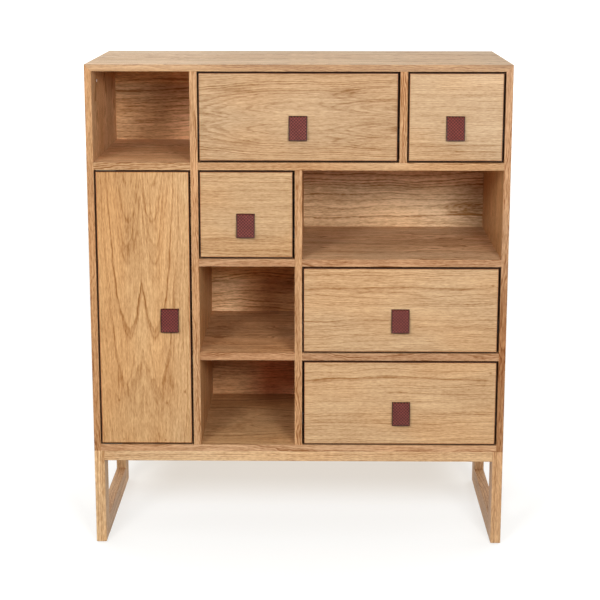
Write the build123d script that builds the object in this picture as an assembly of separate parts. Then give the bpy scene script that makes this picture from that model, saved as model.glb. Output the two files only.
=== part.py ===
from build123d import *
import os

# Oak cabinet with five drawers, one door and four open compartments on a low
# loop-leg base.  Millimetres, +Z up, front towards -Y, +X to the right as seen
# from the front.  Origin: bottom centre of the bounding box, on the floor.

# ---------------------------------------------------------------- dimensions
WIDTH = 1000.0            # overall width of the carcass
DEPTH = 460.0             # overall depth of the carcass, without the tabs
HEIGHT = 1180.0           # floor to top face
TAB_REACH = 12.0          # how far the leather tabs stand off the fronts
OUTER_T = 16.5            # side and bottom panels
TOP_T = 16.0              # top panel
INNER_T = 18.0            # dividers and shelves
ROW_H = 213.75            # clear height of each of the four rows
BACK_T = 8.0              # back panel
INNER_D = 436.0           # front plane to the face of the back panel
ARRIS = 0.8               # eased edges on the visible boards

LEG_W = 25.0              # legs and runners, across
LEG_D = 58.0              # legs, front to back
RUNNER_H = 51.0           # height of the floor runner
RAIL_H = 25.0             # rails under the carcass
GLIDE_T = 2.0             # felt glides under the runners and legs
FOOT_R = 2.5              # rounding of the leg corners at the floor

FRONT_T = 18.0            # drawer fronts and door
BOX_T = 12.0              # drawer box sides and back
BOX_BOTTOM_T = 6.0        # drawer bottom
BOX_D = 398.0             # drawer box length behind the front
HOUSING = 5.0             # how deep the box boards are let into each other
SIDE_CLEAR = 13.0         # carcass to drawer box, each side
CHANNEL_T = 1.2           # steel of the slide channels
CHANNEL_OUT = 9.5         # fixed channel, how far it stands off the wall
CHANNEL_H = 30.0          # fixed channel, height
RUNNER_CLEAR = 0.6        # moving channel inside the fixed one, each side
SLIDE_L = 392.0

TAB_W = 43.5
TAB_H = 58.0              # top of the slot to the lower edge of the tab
TAB_T = 3.4               # two layers of leather
SLOT_OVER = 1.6           # open part of the slot above the tab
SLOT_UNDER = 0.4
SLOT_W = 44.3

DOWEL_R = 4.0
DOWEL_L = 30.0
PIVOT_X = 8.0             # door pivot, from the hinge edge of the door
PIVOT_D = 6.0             # door pivot, behind the front plane
PIN_R = 2.5
PIN_HOLE_R = 2.55
LEAF_T = 1.2

# ---------------------------------------------------------------- derived
YF = -(DEPTH + TAB_REACH) / 2 + TAB_REACH        # front plane
YB = YF + DEPTH                                  # rear plane
XL, XR = -WIDTH / 2, WIDTH / 2
XIL, XIR = XL + OUTER_T, XR - OUTER_T            # inner faces of the sides
CELL = (WIDTH - 2 * OUTER_T - 3 * INNER_T) / 4
V = []                                           # the three divider positions
x = XIL
for _ in range(3):
    V.append((x + CELL, x + CELL + INNER_T))
    x += CELL + INNER_T
Z_TOP0 = HEIGHT - TOP_T
Z_BOT1 = Z_TOP0 - 4 * ROW_H - 3 * INNER_T
Z_BOT0 = Z_BOT1 - OUTER_T
Z_RAIL0 = Z_BOT0 - RAIL_H
ROWS = []                                        # clear spaces, bottom row first
z = Z_BOT1
for _ in range(4):
    ROWS.append((z, z + ROW_H))
    z += ROW_H + INNER_T
ROW4, ROW3, ROW2, ROW1 = ROWS                    # row 1 is the top row
SHELF3 = (ROW4[1], ROW3[0])
SHELF2 = (ROW3[1], ROW2[0])
SHELF1 = (ROW2[1], ROW1[0])

parts = {}


def box(x0, x1, d0, d1, z0, z1):
    """Box between two x, two depths behind the front plane and two heights."""
    return Pos((x0 + x1) / 2, YF + (d0 + d1) / 2, (z0 + z1) / 2) * Box(
        abs(x1 - x0), abs(d1 - d0), abs(z1 - z0)
    )


def rod(p, axis, r, length):
    """Cylinder from p along +X, -X, +Y, -Y, +Z or -Z; p is (x, depth, z)."""
    turn = {
        "+X": (0, 90, 0), "-X": (0, -90, 0),
        "+Y": (-90, 0, 0), "-Y": (90, 0, 0),
        "+Z": (0, 0, 0), "-Z": (180, 0, 0),
    }[axis]
    return (
        Pos(p[0], YF + p[1], p[2])
        * Rot(*turn)
        * Cylinder(r, length, align=(Align.CENTER, Align.CENTER, Align.MIN))
    )


def ease(solid, pick, r=ARRIS):
    edges = [e for e in solid.edges() if pick(e.center(), e)]
    return fillet(edges, r) if edges else solid


def front_edges(c, e, tol=0.01):
    """Edges that lie in the front plane."""
    return abs(c.Y - YF) < tol and abs(e.bounding_box().size.Y) < tol


def long_front(solid, along):
    """Ease only the two long front edges of a board."""
    def pick(c, e):
        s = e.bounding_box().size
        long = s.X if along == "X" else s.Z
        return abs(c.Y - YF) < 0.01 and long > 100
    return ease(solid, pick)


def keep(name, shape):
    shape.label = name
    parts[name] = shape


# ---------------------------------------------------------------- carcass boards
# top and sides meet in a mitre; the bottom lies between the sides
with BuildSketch(Plane.XZ) as s_top:
    with BuildLine():
        Polyline(
            (XL, HEIGHT), (XR, HEIGHT), (XIR, Z_TOP0), (XIL, Z_TOP0), (XL, HEIGHT)
        )
    make_face()
top = Pos(0, YF, 0) * extrude(s_top.sketch, amount=-DEPTH)
with BuildSketch(Plane.XZ) as s_side:
    with BuildLine():
        Polyline((XL, Z_BOT0), (XL, HEIGHT), (XIL, Z_TOP0), (XIL, Z_BOT0), (XL, Z_BOT0))
    make_face()
side_l = Pos(0, YF, 0) * extrude(s_side.sketch, amount=-DEPTH)
side_r = mirror(side_l, about=Plane.YZ)

top = ease(
    top,
    lambda c, e: (abs(c.Z - HEIGHT) < 0.01 and e.bounding_box().size.X > 100)
    or (abs(c.Y - YF) < 0.01 and e.bounding_box().size.X > 100),
)
side_l = long_front(side_l, "Z")
side_r = long_front(side_r, "Z")

bottom = long_front(box(XIL, XIR, 0, DEPTH, Z_BOT0, Z_BOT1), "X")
divider_left = long_front(box(*V[0], 0, INNER_D, Z_BOT1, Z_TOP0), "Z")
divider_centre = long_front(box(*V[1], 0, INNER_D, Z_BOT1, SHELF1[0]), "Z")
divider_right = long_front(box(*V[2], 0, INNER_D, SHELF1[1], Z_TOP0), "Z")
shelf_top_left = long_front(box(XIL, V[0][0], 0, INNER_D, *SHELF1), "X")
shelf_top_right = long_front(box(V[0][1], XIR, 0, INNER_D, *SHELF1), "X")
shelf_mid_left = long_front(box(V[0][1], V[1][0], 0, INNER_D, *SHELF2), "X")
shelf_mid_right = long_front(box(V[1][1], XIR, 0, INNER_D, *SHELF2), "X")
shelf_low_left = long_front(box(V[0][1], V[1][0], 0, INNER_D, *SHELF3), "X")
shelf_low_right = long_front(box(V[1][1], XIR, 0, INNER_D, *SHELF3), "X")
back_panel = box(XIL, XIR, INNER_D, INNER_D + BACK_T, Z_BOT1, Z_TOP0)

# loose tongues in the two mitres
TONGUE = (4.0, 13.0)
mid_x, mid_z = (XR + XIR) / 2, (HEIGHT + Z_TOP0) / 2
tongues = []
for s in (-1, 1):
    t = (
        Pos(s * mid_x, YF + DEPTH / 2, mid_z)
        * Rot(0, s * 45, 0)
        * Box(TONGUE[1], DEPTH - 80, TONGUE[0])
    )
    tongues.append(t)
top = top - tongues[0] - tongues[1]
side_l = side_l - tongues[0]
side_r = side_r - tongues[1]

# ---------------------------------------------------------------- base
LEG_TOP = Z_BOT0


def leg(x0, x1, d0, d1, outer_d):
    body = box(x0, x1, d0, d1, GLIDE_T, LEG_TOP)
    # eased upright corners, rounder at the floor
    body = ease(
        body,
        lambda c, e: e.bounding_box().size.Z > 100 and abs(c.Y - (YF + outer_d)) < 0.01,
        1.2,
    )
    edges = [
        e
        for e in body.edges()
        if abs(e.center().Z - GLIDE_T) < 0.01
        and e.bounding_box().size.X > LEG_W - 6
        and abs(e.center().Y - (YF + outer_d)) < 0.01
    ]
    return fillet(edges, FOOT_R) if edges else body


leg_fl = leg(XL, XL + LEG_W, 0, LEG_D, 0)
leg_fr = leg(XR - LEG_W, XR, 0, LEG_D, 0)
leg_rl = leg(XL, XL + LEG_W, DEPTH - LEG_D, DEPTH, DEPTH)
leg_rr = leg(XR - LEG_W, XR, DEPTH - LEG_D, DEPTH, DEPTH)
runner_l = box(XL, XL + LEG_W, LEG_D, DEPTH - LEG_D, GLIDE_T, GLIDE_T + RUNNER_H)
runner_r = box(XR - LEG_W, XR, LEG_D, DEPTH - LEG_D, GLIDE_T, GLIDE_T + RUNNER_H)


def ease_runner(solid):
    return ease(solid, lambda c, e: e.bounding_box().size.Y > 100, 1.2)


runner_l, runner_r = ease_runner(runner_l), ease_runner(runner_r)
side_rail_l = box(XL, XL + LEG_W, LEG_D, DEPTH - LEG_D, Z_RAIL0, Z_BOT0)
side_rail_r = box(XR - LEG_W, XR, LEG_D, DEPTH - LEG_D, Z_RAIL0, Z_BOT0)
rail_front = box(XL + LEG_W, XR - LEG_W, 0, LEG_D, Z_RAIL0, Z_BOT0)
rail_rear = box(XL + LEG_W, XR - LEG_W, DEPTH - LEG_D, DEPTH, Z_RAIL0, Z_BOT0)
rail_front = ease(
    rail_front, lambda c, e: abs(c.Y - YF) < 0.01 and e.bounding_box().size.X > 100, 1.0
)

boards = {
    "top_panel": top,
    "side_panel_left": side_l,
    "side_panel_right": side_r,
    "bottom_panel": bottom,
    "divider_left": divider_left,
    "divider_centre": divider_centre,
    "divider_right": divider_right,
    "shelf_top_left": shelf_top_left,
    "shelf_top_right": shelf_top_right,
    "shelf_middle_left": shelf_mid_left,
    "shelf_middle_right": shelf_mid_right,
    "shelf_lower_left": shelf_low_left,
    "shelf_lower_right": shelf_low_right,
    "back_panel": back_panel,
    "leg_front_left": leg_fl,
    "leg_front_right": leg_fr,
    "leg_rear_left": leg_rl,
    "leg_rear_right": leg_rr,
    "runner_left": runner_l,
    "runner_right": runner_r,
    "side_rail_left": side_rail_l,
    "side_rail_right": side_rail_r,
    "rail_front": rail_front,
    "rail_rear": rail_rear,
}
cuts = {n: [] for n in boards}

# ---------------------------------------------------------------- dowels
dowels = []


def dowel(end_board, face_board, face, axis, spots, in_face=10.0, r=DOWEL_R):
    """Dowels across a butt joint.  face: coordinate of the joint plane; axis:
    the way from the face board into the end board; spots: the other two
    coordinates of each dowel."""
    for a, b in spots:
        sign = 1 if axis[0] == "+" else -1
        if axis[1] == "X":
            p = (face - sign * in_face, a, b)
        elif axis[1] == "Z":
            p = (a, b, face - sign * in_face)
        else:
            p = (a, face - sign * in_face, b)
        d = rod(p, axis, r, DOWEL_L if r == DOWEL_R else 24.0)
        dowels.append(d)
        cuts[end_board].append(d)
        cuts[face_board].append(d)


zc = lambda pair: (pair[0] + pair[1]) / 2
EVEN = (60.0, 218.0, 376.0)
ODD = (100.0, 336.0)
dowel("bottom_panel", "side_panel_left", XIL, "+X", [(d, Z_BOT0 + 8.25) for d in EVEN])
dowel("bottom_panel", "side_panel_right", XIR, "-X", [(d, Z_BOT0 + 8.25) for d in EVEN])
dowel("shelf_top_left", "side_panel_left", XIL, "+X", [(d, zc(SHELF1)) for d in EVEN])
dowel("shelf_top_left", "divider_left", V[0][0], "-X", [(d, zc(SHELF1)) for d in EVEN])
dowel("shelf_top_right", "divider_left", V[0][1], "+X", [(d, zc(SHELF1)) for d in ODD])
dowel("shelf_top_right", "side_panel_right", XIR, "-X", [(d, zc(SHELF1)) for d in EVEN])
for n, s in (("middle", SHELF2), ("lower", SHELF3)):
    dowel(f"shelf_{n}_left", "divider_left", V[0][1], "+X", [(d, zc(s)) for d in EVEN])
    dowel(f"shelf_{n}_left", "divider_centre", V[1][0], "-X", [(d, zc(s)) for d in EVEN])
    dowel(f"shelf_{n}_right", "divider_centre", V[1][1], "+X", [(d, zc(s)) for d in ODD])
    dowel(f"shelf_{n}_right", "side_panel_right", XIR, "-X", [(d, zc(s)) for d in EVEN])
dowel("divider_left", "top_panel", Z_TOP0, "-Z", [(zc(V[0]), d) for d in EVEN])
dowel("divider_left", "bottom_panel", Z_BOT1, "+Z", [(zc(V[0]), d) for d in EVEN])
dowel("divider_centre", "shelf_top_right", SHELF1[0], "-Z", [(zc(V[1]), d) for d in EVEN])
dowel("divider_centre", "bottom_panel", Z_BOT1, "+Z", [(zc(V[1]), d) for d in EVEN])
dowel("divider_right", "top_panel", Z_TOP0, "-Z", [(zc(V[2]), d) for d in EVEN])
dowel("divider_right", "shelf_top_right", SHELF1[1], "+Z", [(zc(V[2]), d) for d in EVEN])
# base: rails and runners into the legs, 24 mm dowels
for s, name in ((-1, "left"), (1, "right")):
    xc = s * (WIDTH / 2 - LEG_W / 2)
    for part, zz in ((f"side_rail_{name}", (Z_RAIL0 + 12.5,)), (f"runner_{name}", (16.0, 38.0))):
        dowel(part, f"leg_front_{name}", LEG_D, "+Y", [(xc, q) for q in zz], 12.0, 3.0)
        dowel(part, f"leg_rear_{name}", DEPTH - LEG_D, "-Y", [(xc, q) for q in zz], 12.0, 3.0)
    xi = s * (WIDTH / 2 - LEG_W)
    way = "+X" if s < 0 else "-X"
    dowel("rail_front", f"leg_front_{name}", xi, way, [(15.0, Z_RAIL0 + 12.5), (43.0, Z_RAIL0 + 12.5)], 12.0, 3.0)
    dowel("rail_rear", f"leg_rear_{name}", xi, way, [(DEPTH - 15.0, Z_RAIL0 + 12.5), (DEPTH - 43.0, Z_RAIL0 + 12.5)], 12.0, 3.0)

# ---------------------------------------------------------------- screws
screws = []


def screw(p, axis, r, length, head_r, through):
    """Countersunk screw: head face at p, driven along axis."""
    shank = rod(p, axis, r, length)
    cone_h = head_r - r
    turn = {"-Y": (90, 0, 0), "+Z": (0, 0, 0)}[axis]
    head = (
        Pos(p[0], YF + p[1], p[2])
        * Rot(*turn)
        * Cone(head_r, r, cone_h, align=(Align.CENTER, Align.CENTER, Align.MIN))
    )
    solid = shank + head
    screws.append(solid)
    for n in through:
        cuts[n].append(solid)


BACK = INNER_D + BACK_T
for n, xc, zs in (
    ("divider_left", zc(V[0]), (330, 620, 900, 1100)),
    ("divider_centre", zc(V[1]), (360, 600, 830)),
    ("divider_right", zc(V[2]), (1057,)),
):
    for zz in zs:
        screw((xc, BACK, zz), "-Y", 1.75, 28.0, 3.6, ("back_panel", n))
for n, xs, zz in (
    ("shelf_top_right", (120.0, 370.0), zc(SHELF1)),
    ("shelf_middle_right", (246.0, 400.0), zc(SHELF2)),
    ("shelf_lower_right", (246.0, 400.0), zc(SHELF3)),
    ("shelf_top_left", (-370.0,), zc(SHELF1)),
):
    for xc in xs:
        screw((xc, BACK, zz), "-Y", 1.75, 28.0, 3.6, ("back_panel", n))
# the base is screwed up into the bottom panel
for xc in (-400.0, 0.0, 400.0):
    screw((xc, LEG_D / 2, Z_RAIL0), "+Z", 2.25, 37.0, 4.6, ("rail_front", "bottom_panel"))
    screw((xc, DEPTH - LEG_D / 2, Z_RAIL0), "+Z", 2.25, 37.0, 4.6, ("rail_rear", "bottom_panel"))

# ---------------------------------------------------------------- door compartment
DOOR_GAP = (2.8, 3.2, 2.8, 3.0)       # left, right, top, bottom
DX0, DX1 = XIL + DOOR_GAP[0], V[0][0] - DOOR_GAP[1]
DZ0, DZ1 = Z_BOT1 + DOOR_GAP[3], SHELF1[0] - DOOR_GAP[2]
PX, PD = DX0 + PIVOT_X, PIVOT_D

door = box(DX0, DX1, 0, FRONT_T, DZ0, DZ1)
door = ease(door, front_edges)

# knife hinges: a fixed leaf with a pin on the carcass, a plain leaf on the door
fixed_leaves, door_leaves = [], []
for face, away, edge in ((SHELF1[0], -1, DZ1), (Z_BOT1, 1, DZ0)):
    a, b = sorted((face, face + away * LEAF_T))
    plate = box(PX - 4.5, PX + 40, PD - 4.5, PD + 4.5, a, b)
    pin = rod((PX, PD, face), "-Z" if away < 0 else "+Z", PIN_R, 13.0)
    fixed_leaves.append(plate + pin)
    a, b = sorted((edge, edge - away * LEAF_T))
    leaf = box(PX - 4.5, PX + 40, PD - 4.5, PD + 4.5, a, b)
    bore = rod((PX, PD, edge - away * 2.0), "-Z" if away < 0 else "+Z", PIN_HOLE_R, 2.0 + 12.5)
    door_leaves.append(leaf - bore)
    door = door - bore

# loose shelf on four pins
ADJ_Z = 588.0
adjustable_shelf = box(XIL + 0.6, V[0][0] - 0.6, 34, 430, ADJ_Z, ADJ_Z + 15.0)
adjustable_shelf = ease(
    adjustable_shelf,
    lambda c, e: abs(c.Y - (YF + 34)) < 0.01 and e.bounding_box().size.X > 100,
)
shelf_pins = []
for d in (80.0, 390.0):
    for face, way, n in ((XIL, "+X", "side_panel_left"), (V[0][0], "-X", "divider_left")):
        s = 1 if way == "+X" else -1
        pin = rod((face - s * 8.0, d, ADJ_Z - 2.5), way, 2.5, 17.0)
        shelf_pins.append(pin)
        cuts[n].append(pin)

# magnetic catch under the shelf above the door, strike plate on the door
catch_body = box(-300, -262, FRONT_T + 2.2, FRONT_T + 16, SHELF1[0] - 12.5, SHELF1[0])
catch_body = ease(catch_body, lambda c, e: abs(c.Z - (SHELF1[0] - 12.5)) < 0.01, 1.0)
strike = box(-297, -265, FRONT_T, FRONT_T + 1.6, SHELF1[0] - 12.0, DZ1 - 0.3)

# small white plug on the inner face of the left side, in the open top row
plug = rod((XIL - 5.0, 88.7, 1134.9), "+X", 2.5, 5.0) + rod((XIL, 88.7, 1134.9), "+X", 3.6, 0.9)
cuts["side_panel_left"].append(plug)

# ---------------------------------------------------------------- fronts, drawers
def tab(xc, zt):
    """Leather strap: a tail behind the front, out through the slot, and down
    the front, leaning out towards its lower edge.  zt: top of the slot."""
    x0 = xc - TAB_W / 2
    zs0 = zt - SLOT_OVER - TAB_T
    top = zt - SLOT_OVER
    hang = TAB_H - SLOT_OVER - 0.7      # from the top of the strap, outer face
    lean = TAB_REACH - 5.6
    outer = [(-2.6, 0.0), (-4.4, 0.9), (-5.3, 2.3), (-5.6, 4.0)]
    n = 6
    for k in range(1, n + 1):
        t = k / n
        outer.append((-5.6 - lean * t ** 1.7, 4.0 + (hang - 4.0) * t))
    # inner face: the outer one set back by the thickness
    inner = []
    run = outer[3:]
    for k, (d, s) in enumerate(run):
        a, b = run[max(k - 1, 0)], run[min(k + 1, len(run) - 1)]
        td, ts = b[0] - a[0], b[1] - a[1]
        m = (td * td + ts * ts) ** 0.5
        inner.append((d + TAB_T * ts / m, s - TAB_T * td / m))
    profile = [(FRONT_T + 0.3, zs0), (FRONT_T + 0.3, zs0 - 24.0)]
    profile += [(FRONT_T + 0.3 + TAB_T, zs0 - 24.0), (FRONT_T + 0.3 + TAB_T, top)]
    profile += [(d, top - s) for d, s in outer]
    profile += [(d, top - s) for d, s in reversed(inner[1:])]
    profile += [(-2.2, zs0 - 1.2), (-1.2, zs0), (FRONT_T + 0.3, zs0)]
    with BuildSketch(Plane.YZ) as s:
        with BuildLine():
            Polyline(*[(YF + d, zz) for d, zz in profile])
        make_face()
    return Pos(x0, 0, 0) * extrude(s.sketch, amount=TAB_W)


def slot(xc, zt):
    zs = zt - SLOT_OVER - TAB_T - SLOT_UNDER
    return box(xc - SLOT_W / 2, xc + SLOT_W / 2, -1, FRONT_T + 1, zs, zt)


def clamp(xc, zt):
    """Steel plate and two round-head screws that hold the tail of the tab."""
    zs = zt - SLOT_OVER - TAB_T
    d0 = FRONT_T + 0.3 + TAB_T
    plate = box(xc - 18, xc + 18, d0, d0 + 1.5, zs - 21.0, zs - 9.0)
    out = []
    for dx in (-11.0, 11.0):
        head = rod((xc + dx, d0 + 1.5, zs - 15.0), "+Y", 3.2, 1.8)
        shank = rod((xc + dx, d0 + 1.5, zs - 15.0), "-Y", 1.6, 15.0)
        out.append(head + shank)
    return [plate - out[0] - out[1]] + out


def make_tab(prefix, front, xc, zt):
    """Front with its slot and screw holes, and the tab through it."""
    fittings = clamp(xc, zt)
    front = front - slot(xc, zt) - fittings[1] - fittings[2]
    t = tab(xc, zt) - fittings[1] - fittings[2]
    return front, t, fittings


door, door_tab, door_clamp = make_tab("door", door, -309.0, zc((DZ0, DZ1)) + 3.0)

DRAWERS = {
    # name: (x0, x1, row, gaps left right top bottom, tab centre x or None)
    "drawer_top_wide": (V[0][1], V[2][0], ROW1, (2.8, 4.2, 2.6, 3.6), -1.2),
    "drawer_top_small": (V[2][1], XIR, ROW1, (2.6, 4.0, 2.6, 3.8), 367.4),
    "drawer_middle_small": (V[0][1], V[1][0], ROW2, (2.8, 3.8, 2.8, 3.4), -125.4),
    "drawer_lower_wide": (V[1][1], XIR, ROW3, (2.6, 4.4, 3.2, 3.2), 245.0),
    "drawer_bottom_wide": (V[1][1], XIR, ROW4, (4.0, 3.6, 2.8, 2.8), 249.5),
}
WALLS = {
    # the boards that carry the left and the right slide
    "drawer_top_wide": ("divider_left", "divider_right"),
    "drawer_top_small": ("divider_right", "side_panel_right"),
    "drawer_middle_small": ("divider_left", "divider_centre"),
    "drawer_lower_wide": ("divider_centre", "side_panel_right"),
    "drawer_bottom_wide": ("divider_centre", "side_panel_right"),
}
slides_fixed = []


def channel(xa, xb, opening, height):
    """Steel channel along the depth, web at xa, flanges reaching to xb."""
    way = 1 if xb > xa else -1
    outer = box(xa, xb, 22, 22 + SLIDE_L, opening - height / 2, opening + height / 2)
    inner = box(
        xa + way * CHANNEL_T, xb + way, 20, 24 + SLIDE_L,
        opening - height / 2 + CHANNEL_T, opening + height / 2 - CHANNEL_T,
    )
    return outer - inner


def pan_screw(p, axis, length):
    """Pan-head screw, underside of the head at p."""
    back = {"+X": "-X", "-X": "+X"}[axis]
    return rod(p, axis, 1.5, length) + rod(p, back, 3.0, 1.5)


for name, (x0, x1, row, gap, tab_x) in DRAWERS.items():
    fx0, fx1 = x0 + gap[0], x1 - gap[1]
    fz0, fz1 = row[0] + gap[3], row[1] - gap[2]
    front = ease(box(fx0, fx1, 0, FRONT_T, fz0, fz1), front_edges)
    zt = (fz0 + fz1) / 2 + 3.0
    front, leather, fit = make_tab(name, front, tab_x, zt)
    # the box: sides housed in the front, back housed in the sides, and the
    # bottom in a groove of the front and sides, running out under the back
    bx0, bx1 = x0 + SIDE_CLEAR, x1 - SIDE_CLEAR
    bz0, bz1 = row[0] + 14.0, row[1] - 34.0
    d0, d1 = FRONT_T, FRONT_T + BOX_D
    let_in = BOX_T - HOUSING
    left = box(bx0, bx0 + BOX_T, d0 - HOUSING, d1, bz0, bz1)
    right = box(bx1 - BOX_T, bx1, d0 - HOUSING, d1, bz0, bz1)
    base_z = bz0 + 8.0
    back = box(
        bx0 + let_in, bx1 - let_in, d1 - 10 - BOX_T, d1 - 10,
        base_z + BOX_BOTTOM_T, bz1 - 10,
    )
    base = box(bx0 + let_in, bx1 - let_in, d0 - HOUSING, d1, base_z, base_z + BOX_BOTTOM_T)

    def soft_top(s):
        return ease(
            s,
            lambda c, e: abs(c.Z - bz1) < 0.01 and e.bounding_box().size.Y > 100,
            1.5,
        )

    front = front - left - right - base
    left, right = soft_top(left), soft_top(right)
    left, right = left - back - base, right - back - base
    # single-extension slides: a channel on the carcass wall, and a smaller one
    # on the box that runs inside it, open side to open side
    zs = row[0] + 62.0
    moving = []
    for k, (side, wall, way) in enumerate(((bx0, x0, 1), (bx1, x1, -1))):
        fixed = channel(wall, wall + way * CHANNEL_OUT, zs, CHANNEL_H)
        slider = channel(
            side, wall + way * (CHANNEL_T + 0.8), zs,
            CHANNEL_H - 2 * CHANNEL_T - 2 * RUNNER_CLEAR,
        )
        into_wall, into_box = ("-X", "+X") if way > 0 else ("+X", "-X")
        for d in (60.0, 370.0):
            s = pan_screw((wall + way * CHANNEL_T, d, zs), into_wall, 8.6)
            fixed = fixed - s
            screws.append(s)
            cuts[WALLS[name][k]].append(s)
            s = pan_screw((side - way * CHANNEL_T, d + 14.0, zs), into_box, 9.6)
            slider = slider - s
            if k == 0:
                left = left - s
            else:
                right = right - s
            moving.append(s)
        slides_fixed.append(fixed)
        moving.append(slider)
    keep(f"{name}_front", front)
    keep(f"{name}_box", Compound(children=[left, right, back, base]))
    keep(f"{name}_fittings", Compound(children=moving + fit))
    keep(f"{name}_tab", leather)

keep("door_panel", door)
keep("door_hinge_leaves", Compound(children=door_leaves))
keep("door_strike_plate", strike)
keep("door_tab_clamp", Compound(children=door_clamp))
keep("door_tab", door_tab)

# ---------------------------------------------------------------- fixed fittings
keep("slide_rails_fixed", Compound(children=slides_fixed))
keep("door_hinge_pins", Compound(children=fixed_leaves))
keep("magnetic_catch", catch_body)
keep("adjustable_shelf", adjustable_shelf)
keep("shelf_pins", Compound(children=shelf_pins))
keep("hole_plug", plug)

glides = []
for s in (-1, 1):
    xc = s * (WIDTH / 2 - LEG_W / 2)
    for d in (LEG_D / 2, DEPTH / 2, DEPTH - LEG_D / 2):
        glides.append(rod((xc, d, 0), "+Z", 9.0, GLIDE_T))
keep("felt_glides", Compound(children=glides))

keep("mitre_tongues", Compound(children=tongues))
keep("wooden_dowels", Compound(children=dowels))
keep("wood_screws", Compound(children=screws))

for n, b in boards.items():
    for c in cuts[n]:
        b = b - c
    keep(n, b)

# ---------------------------------------------------------------- write
os.makedirs("parts", exist_ok=True)
for n, shape in parts.items():
    export_step(shape, f"parts/{n}.step")
print(len(parts), "parts;", "front plane y", YF, "rear", YB, "rows", ROWS)
print("cell", CELL, "dividers", V, "rail", Z_RAIL0, "bottom", Z_BOT0, Z_BOT1)
print("pivot x", PX, "y", YF + PD)
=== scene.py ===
import math

import bmesh
import bpy
from mathutils import Matrix, Vector


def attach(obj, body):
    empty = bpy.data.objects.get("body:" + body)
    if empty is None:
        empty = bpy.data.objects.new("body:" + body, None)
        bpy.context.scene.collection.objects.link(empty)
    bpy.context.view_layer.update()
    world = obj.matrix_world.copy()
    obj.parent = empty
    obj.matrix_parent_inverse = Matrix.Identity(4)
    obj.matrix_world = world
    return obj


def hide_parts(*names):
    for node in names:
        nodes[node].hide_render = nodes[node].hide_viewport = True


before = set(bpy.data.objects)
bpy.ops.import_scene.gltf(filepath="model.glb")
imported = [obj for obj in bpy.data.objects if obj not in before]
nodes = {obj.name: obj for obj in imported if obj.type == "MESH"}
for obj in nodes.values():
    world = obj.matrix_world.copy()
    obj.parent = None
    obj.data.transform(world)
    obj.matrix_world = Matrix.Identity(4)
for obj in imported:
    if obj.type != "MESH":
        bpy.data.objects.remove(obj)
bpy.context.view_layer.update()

# Lengths in the materials are millimetres in the row frame: a node sits at the
# origin, so its object coordinates are row coordinates, and they stay with the
# piece when it moves.
FRONT_Y = -224.0

# ---------------------------------------------------------------- node helper


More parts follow.
